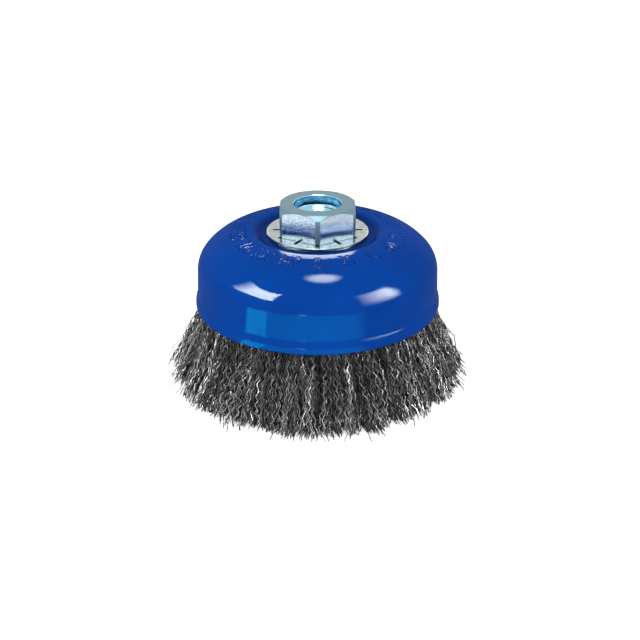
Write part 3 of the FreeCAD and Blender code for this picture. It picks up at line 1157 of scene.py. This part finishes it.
@dataclass
class Skirt:
    """The ring of crimped wires, one piece to each packed sector. Sizes are millimetres."""

    seed: int = 41
    masters: int = 24
    wires_per_sector: int = 390
    tufts_per_sector: int = 40
    outer_share: float = 0.45
    outer_band: float = 0.22
    inner_root: float = 27.5
    outer_root: float = 37.0
    inner_tip: float = 28.4
    outer_tip: float = 47.3
    inner_start: float = 10.0
    outer_start: float = 1.6
    flare_start: float = 1.0
    flare_power: float = 1.1
    held_length: float = 2.0
    held_share: float = 0.25
    reach_spread: float = 1.1
    stray_share: float = 0.14
    stray_reach: float = 3.8
    stray_power: float = 4.0
    tip_spread: float = 0.9
    tip_limit: float = 4.0
    level_tips: float = 0.5
    # painted shade: share of a wire's tone left at the cup's lip and inside the cup
    root_shade: float = 0.27
    shade_power: float = 2.0
    lean_spread: float = 2.4
    tuft_lean: float = 2.0
    tuft_reach: float = 0.9
    tuft_lift: float = 0.3
    spin_spread: float = 0.45
    tuft_spin: float = 0.45
    margin: float = 0.05

    def tuft(self, draw: random.Random) -> Tuft:
        """A tuft at a random place, its crimps turned along the skirt."""
        return Tuft(
            share=draw.random(),
            depth=draw.random(),
            spin=draw.choice((1, -1)) * math.pi / 2 + draw.gauss(0, self.tuft_spin),
            lean=draw.gauss(0, self.tuft_lean),
            reach=draw.gauss(0, self.tuft_reach),
            lift=abs(draw.gauss(0, self.tuft_lift)),
        )

    def placed(self, shape: np.ndarray, draw: random.Random, tuft: Tuft, angle: float, depth: float,
               lip: float) -> np.ndarray:
        """Lay one strand out from its root inside the cup to its tip.

        Args:
            shape: the strand's vertices, straight down from the origin.
            draw: where the differences come from.
            tuft: what it shares with its neighbours.
            angle: place round the spindle axis in radians.
            depth: place across the skirt, 0 at its inner face and 1 at its outer one.
            lip: height of the cup's lip.

        Returns:
            The vertices in place.
        """
        spin = tuft.spin + draw.gauss(0, self.spin_spread)
        root = self.inner_root + (self.outer_root - self.inner_root) * depth
        tip = self.inner_tip + (self.outer_tip - self.inner_tip) * depth + tuft.reach * depth
        tip += draw.gauss(0, self.reach_spread)
        stray = draw.random() * self.stray_reach if draw.random() < self.stray_share else 0.0
        start = lip + self.inner_start + (self.outer_start - self.inner_start) * depth
        ragged = self.level_tips + (1 - self.level_tips) * depth
        end = min(abs(draw.gauss(0, self.tip_spread)) * ragged + tuft.lift * depth, self.tip_limit)
        lean = math.radians(tuft.lean + draw.gauss(0, self.lean_spread))
        x = shape[:, 0] * math.cos(spin) - shape[:, 1] * math.sin(spin)
        y = shape[:, 0] * math.sin(spin) + shape[:, 1] * math.cos(spin)
        z = start + shape[:, 2] * (start - end)
        free = lip + self.flare_start
        fall = np.clip((free - z) / (free - end), 0, 1)
        hold = np.clip((start - z) / self.held_length, self.held_share, 1)
        radius = root + (tip - root) * fall ** self.flare_power + stray * fall ** self.stray_power + x * hold
        turn = angle + lean * fall + y * hold / radius
        return np.stack((radius * np.cos(turn), radius * np.sin(turn), z), axis=1)

    def sector(self, index: int, name: str, strands: Sequence[tuple[bpy.types.Mesh, np.ndarray]],
               sectors: int, lip: float, limit: Vector) -> bpy.types.Object:
        """The wires of one packed sector.

        Args:
            index: which sector, counted round from +X.
            name: the piece's name.
            strands: the strands' meshes with their vertices.
            sectors: how many sectors the skirt has.
            lip: height of the cup's lip.
            limit: the furthest that a wire may reach along X and Y.

        Returns:
            The piece.
        """
        draw = random.Random(self.seed + index)
        tufts = [self.tuft(draw) for _ in range(self.tufts_per_sector)]
        bm = bmesh.new()
        parts, shades = [], []
        for _ in range(self.wires_per_sector):
            mesh, shape = draw.choice(strands)
            share = draw.random()
            depth = draw.random() if draw.random() > self.outer_share else 1 - self.outer_band * draw.random()
            tuft = min(tufts, key=lambda one: one.distance(share, depth))
            laid = self.placed(shape, draw, tuft, (index + share) * FULL_TURN / sectors, depth, lip)
            over = np.maximum(np.abs(laid[:, 0]) / limit.x, np.abs(laid[:, 1]) / limit.y)
            laid[:, :2] /= np.maximum(over, 1)[:, None]
            laid[:, 2] = np.maximum(laid[:, 2], 0)
            bm.from_mesh(mesh)
            parts.append(laid)
            # painted shade: each wire grows darker up towards the cup's lip
            lip_shade = self.root_shade + (1 - self.root_shade) * np.clip(1 - laid[:, 2] / lip, 0, 1)
            shades.append(draw.random() ** self.shade_power * lip_shade)
        made = meshed(bm, name)
        made.vertices.foreach_set("co", np.concatenate(parts).astype(np.float32).ravel() * MM)
        made.attributes.new(SHADE, "FLOAT", "POINT").data.foreach_set("value", np.concatenate(shades))
        made.update()
        return shown(made)

    def build(self, nodes: Sequence[str]) -> Iterator[tuple[bpy.types.Object, str]]:
        """Make every sector's wires.

        Args:
            nodes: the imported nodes, in order round the skirt.

        Yields:
            Each piece with the node that it stands for.
        """
        draw = random.Random(self.seed)
        strands = []
        for _ in range(self.masters):
            mesh = Strand().mesh(draw)
            shape = np.empty(len(mesh.vertices) * 3)
            mesh.vertices.foreach_get("co", shape)
            strands.append((mesh, shape.reshape(-1, 3)))
        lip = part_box("cup")[0].z / MM
        highs = [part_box(node)[1] for node in nodes]
        limit = Vector((max(high.x for high in highs), max(high.y for high in highs))) / MM
        limit -= Vector((self.margin, self.margin))
        for index, node in enumerate(nodes):
            yield self.sector(index, f"wires_{index + 1:02d}", strands, len(nodes), lip, limit), node
        for mesh, _ in strands:
            bpy.data.meshes.remove(mesh)


def direction(azimuth: float, elevation: float) -> Vector:
    """The unit vector that points away from the brush, azimuth 0 being the camera's side and 90 its right."""
    turn, tilt = math.radians(azimuth), math.radians(elevation)
    return Vector((math.sin(turn) * math.cos(tilt), -math.cos(turn) * math.cos(tilt), math.sin(tilt)))


class Reach(Enum):
    """The pieces that a lamp or panel is mirrored by: the enamelled cup, the zinc plate or the wires."""

    CUP = "lights_cup"
    ZINC = "lights_zinc"
    WIRE = "lights_wire"

    @classmethod
    def of(cls, slot: Slot) -> "Reach":
        """The reach that a material slot's pieces belong to."""
        return {Slot.ENAMEL: cls.CUP, Slot.WIRE: cls.WIRE, Slot.STEEL: cls.WIRE}.get(slot, cls.ZINC)

    def pieces(self) -> bpy.types.Collection:
        """The collection that the pieces are listed in."""
        found = bpy.data.collections.get(self.value)
        return found or bpy.data.collections.new(self.value)


def dressed(piece: bpy.types.Object, material: bpy.types.Material, slot: Slot, *nodes: str) -> None:
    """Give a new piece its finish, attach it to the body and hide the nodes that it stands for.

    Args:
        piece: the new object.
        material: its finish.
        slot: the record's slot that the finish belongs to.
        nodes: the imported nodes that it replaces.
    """
    piece.data.materials.append(material)
    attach(piece, BODY)
    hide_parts(*nodes)
    Reach.of(slot).pieces().objects.link(piece)


def repainted(node: bpy.types.Object, material: bpy.types.Material, slot: Slot) -> None:
    """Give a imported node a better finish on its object's own slots.

    Args:
        node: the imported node's object.
        material: its finish.
        slot: the record's slot that the finish belongs to.
    """
    for held in node.material_slots:
        held.link = "OBJECT"
        held.material = material
    Reach.of(slot).pieces().objects.link(node)


@dataclass(frozen=True)
class Lamp:
    """A soft square lamp that points at the brush. Angles are degrees, lengths metres.

    Without a reach it lights every surface and isn't mirrored; with one it is only mirrored, by those pieces.
    """

    name: str
    azimuth: float
    elevation: float
    distance: float
    size: float
    watts: float
    reach: Reach | None = None

    def build(self, target: Vector) -> None:
        """Hang the lamp.

        Args:
            target: the point that it faces.
        """
        light = bpy.data.lights.new(self.name, "AREA")
        light.size = self.size
        light.energy = self.watts
        hung = shown(light)
        away = direction(self.azimuth, self.elevation)
        turn = away.to_track_quat("Z", "Y").to_matrix().to_4x4()
        hung.matrix_world = Matrix.Translation(target + away * self.distance) @ turn
        hung.visible_camera = False
        hung.visible_glossy = self.reach is not None
        if self.reach is not None:
            hung.visible_diffuse = False
            hung.light_linking.receiver_collection = self.reach.pieces()


@dataclass(frozen=True)
class Panel:
    """A studio panel that only the pieces in its reach mirror. Angles are degrees, lengths metres.

    It spans the given azimuths and elevations as seen from the brush, is then moved aside along X, and fades
    towards its left, right, lower and upper edges over the given shares of its size.
    """

    name: str
    azimuths: tuple[float, float]
    elevations: tuple[float, float]
    distance: float
    tone: Colour
    fades: tuple[float, float, float, float] = (0.0, 0.0, 0.0, 0.0)
    aside: float = 0.0
    reach: Reach = Reach.CUP
    clearance: float = 0.0004
    steps: int = 12

    def point(self, azimuth: float, elevation: float, target: Vector) -> Vector:
        """Where the panel lies in one direction, no lower than the floor.

        Args:
            azimuth: the direction's azimuth.
            elevation: its elevation.
            target: the point that the panel is seen from.

        Returns:
            The place.
        """
        ray = direction(azimuth, elevation)
        far = self.distance
        if ray.z < 0:
            far = min(far, (target.z - self.clearance) / -ray.z)
        return target + ray * far + Vector((self.aside, 0, 0))

    def material(self) -> bpy.types.Material:
        """The panel's light, faded at its edges.

        Returns:
            The material.
        """
        made = bpy.data.materials.new(self.name)
        nodes = NodeTree(made)
        axes = nodes.axes(nodes.add("TexCoord").outputs["UV"])
        strength: Socket | float = 1.0
        for axis, low, high in (("X", *self.fades[:2]), ("Y", *self.fades[2:])):
            if low:
                strength = nodes.math("MULTIPLY", strength, nodes.span(axes[axis], 0, low))
            if high:
                strength = nodes.math("MULTIPLY", strength, nodes.span(axes[axis], 1, 1 - high))
        nodes.added(nodes.glow(self.tone, strength), nodes.add("BsdfTransparent").outputs["BSDF"])
        return made

    def build(self, target: Vector) -> None:
        """Stand the panel up.

        Args:
            target: the point that it is seen from.
        """
        bm = bmesh.new()
        half = 0.5
        verts = bmesh.ops.create_grid(bm, x_segments=self.steps, y_segments=self.steps, size=half)["verts"]
        layer = bm.loops.layers.uv.new("UVMap")
        for face in bm.faces:
            for loop in face.loops:
                loop[layer].uv = loop.vert.co.xy + Vector((half, half))
        for vert in verts:
            azimuth = self.azimuths[0] + (self.azimuths[1] - self.azimuths[0]) * (vert.co.x + half)
            elevation = self.elevations[0] + (self.elevations[1] - self.elevations[0]) * (vert.co.y + half)
            vert.co = self.point(azimuth, elevation, target)
        panel = shown(meshed(bm, self.name))
        panel.data.materials.append(self.material())
        for kind in ("camera", "diffuse", "shadow", "transmission", "volume_scatter"):
            setattr(panel, f"visible_{kind}", False)
        panel.light_linking.receiver_collection = self.reach.pieces()


@dataclass(frozen=True)
class Collar(Panel):
    """A band of light about the nut, such as its flats throw on the cup's crest.

    Its elevations are heights in metres, and its distance is the band's radius.
    """

    def point(self, azimuth: float, elevation: float, target: Vector) -> Vector:
        """Where the collar lies at one azimuth and height."""
        flat = direction(azimuth, 0) * self.distance
        return Vector((flat.x, flat.y, elevation))


@dataclass
class Studio:
    """White floor and surroundings, soft lamps and the camera at the photograph's viewing angle."""

    floor_size: float = 6.0
    floor_tone: float = 0.82
    floor_glow: float = 0.57
    mirrored_share: float = 0.1
    ambient: float = 0.55
    panel_white: Colour = (0.94, 1.05, 1.0, 1.0)
    target: Vector = Vector((0, 0, 0.034))
    camera_place: tuple[float, float, float] = (0.0, -0.34059, 0.18325)
    camera_pitch: float = 64.941
    lens: float = 63.82
    sensor_width: float = 36.0
    clip_start: float = 0.01
    shift: tuple[float, float] = (0.00375, -0.03175)

    def world(self) -> None:
        """White to the camera and to mirrors, and a plain grey to the surfaces that it lights."""
        world = bpy.data.worlds.new("studio")
        bpy.context.scene.world = world
        nodes = NodeTree(world)
        path = nodes.add("LightPath").outputs
        seen = nodes.math("MAXIMUM", path["Is Camera Ray"], path["Is Glossy Ray"])
        seen = nodes.math("MAXIMUM", seen, path["Is Transmission Ray"])
        light = nodes.span(seen, 0, 1, to_low=self.ambient)
        sky = nodes.add("Background", {"Color": WHITE, "Strength": light})
        nodes.add("OutputWorld", {"Surface": sky.outputs["Background"]})

    def floor(self) -> None:
        """A matt white floor that glows a little to the camera, so that it meets the white surroundings."""
        bm = bmesh.new()
        bmesh.ops.create_grid(bm, x_segments=1, y_segments=1, size=self.floor_size / 2)
        floor = shown(meshed(bm, "floor"))
        white = bpy.data.materials.new("white_floor")
        nodes = NodeTree(white)
        path = nodes.add("LightPath").outputs
        mirrored = nodes.math("MULTIPLY", path["Is Glossy Ray"], self.mirrored_share)
        seen = nodes.math("ADD", path["Is Camera Ray"], mirrored)
        matt = nodes.add("BsdfDiffuse", {"Color": scaled(WHITE, self.floor_tone)})
        nodes.added(matt.outputs["BSDF"], nodes.glow(WHITE, nodes.math("MULTIPLY", seen, self.floor_glow)))
        floor.data.materials.append(white)

    def lamps(self) -> tuple[Lamp, ...]:
        """Soft lamps for the light, and small ones that glint on the wires and on the nut's chamfer."""
        return (
            Lamp("key_wash", -38, 45, 1.2, 1.0, 10),
            Lamp("fill_wash", 38, 40, 1.2, 1.0, 6),
            Lamp("left_glints", -96, 20, 1.0, 0.5, 21, Reach.WIRE),
            Lamp("right_glints", 96, 20, 1.0, 0.5, 34, Reach.WIRE),
            Lamp("front_left_glints", -30, 30, 1.0, 0.5, 4, Reach.WIRE),
            Lamp("front_right_glints", 25, 22, 1.0, 0.5, 4, Reach.WIRE),
            Lamp("chamfer_glint", -6, 72, 1.0, 0.55, 4, Reach.ZINC),
        )

    def panels(self) -> tuple[Panel, ...]:
        """Panels placed where the cup's highlights and the zinc plate's greys mirror them."""
        white = self.panel_white
        return (
            Panel("left_box", (-90, -41), (22, 48), 0.6, scaled(white, 205), (0.4, 0.05, 0.0, 0.0)),
            Panel("right_box", (38, 82), (2, 46), 0.6, scaled(white, 195), (0.75, 0.2, 0.38, 0.2)),
            Panel("top_box", (0, 360), (79, 90), 0.6, scaled(white, 130), (0.0, 0.0, 0.5, 0.0), 0.03),
            Panel("front_spot", (-15.5, -9.5), (-12.3, -10.4), 0.4, scaled(white, 60)),
            Panel("front_card", (-40, 38), (-45, -12.3), 0.4, (0.0, 10.8, 19.5, 1.0), (0.0, 0.1, 0.0, 0.0)),
            Panel("front_strip", (-59, -40), (-45, -12.3), 0.4, (0.3, 33.0, 54.0, 1.0),
                  (0.15, 0.0, 0.0, 0.0)),
            Panel("left_table", (-100, -25), (-45, -8), 0.4, scaled(white, 0.35), reach=Reach.ZINC),
            Panel("left_sky", (-85, -30), (12, 42), 0.6, scaled(white, 1.3), reach=Reach.ZINC),
            Panel("right_sky", (30, 85), (12, 42), 0.6, scaled(white, 1.3), reach=Reach.ZINC),
            Collar("nut_glow", (-64, 64), (0.0505, 0.0566), 0.0137, scaled(white, 50), (0.1, 0.1, 0.0, 0.0)),
        )

    def camera(self) -> None:
        """The camera at the photograph's viewing angle and framing."""
        view = bpy.data.cameras.new("view")
        view.lens = self.lens
        view.sensor_width = self.sensor_width
        view.shift_x, view.shift_y = self.shift
        view.clip_start = self.clip_start
        camera = shown(view)
        camera.location = self.camera_place
        camera.rotation_euler = (math.radians(self.camera_pitch), 0, 0)
        bpy.context.scene.camera = camera

    def build(self) -> None:
        """Set the whole studio up."""
        self.world()
        self.floor()
        for light in (*self.lamps(), *self.panels()):
            light.build(self.target)
        self.camera()
        bpy.context.scene.view_settings.view_transform = "Standard"


def main() -> None:
    """Build the looks around the frame, piece by piece."""
    logging.basicConfig(level=logging.INFO, format="%(message)s")
    for leftover in list(bpy.data.objects):
        bpy.data.objects.remove(leftover)
    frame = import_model()
    Studio().build()
    dressed(Cup().build(Dial()), Enamel().material(), Slot.ENAMEL, "cup")
    washer_zinc = ZincPlate("zinc_plate_washer", pale=(0.48, 0.53, 0.53, 1.0), dull=(0.36, 0.40, 0.39, 1.0),
                            mottle_size=0.0011)
    dressed(Washer().build(), washer_zinc.material(), Slot.ZINC, "hub_washer")
    nut = Nut()
    nut_zinc = ZincPlate("zinc_plate_nut", level_height=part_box("drive_nut")[1].z - ZincPlate.edge,
                         turned_slope=nut.slope(), turned_height=nut.cone_height(),
                         turned_radius=nut.corner() * MM - ZincPlate.edge)
    dressed(nut.build(), nut_zinc.material(), Slot.ZINC, "drive_nut")
    sheet = ZincPlate("zinc_sheet").material()
    repainted(frame["nodes"]["inner_plate"], sheet, Slot.SHEET)
    steel = CrimpedSteel().material()
    repainted(frame["nodes"]["retaining_ring"], steel, Slot.STEEL)
    bundles = sorted(node for node in frame["nodes"] if node.startswith("wire_bundle"))
    for piece, node in Skirt().build(bundles):
        dressed(piece, steel, Slot.WIRE, node)
        LOG.info("%s stands for %s", piece.name, node)


if __name__ == "__main__":
    main()
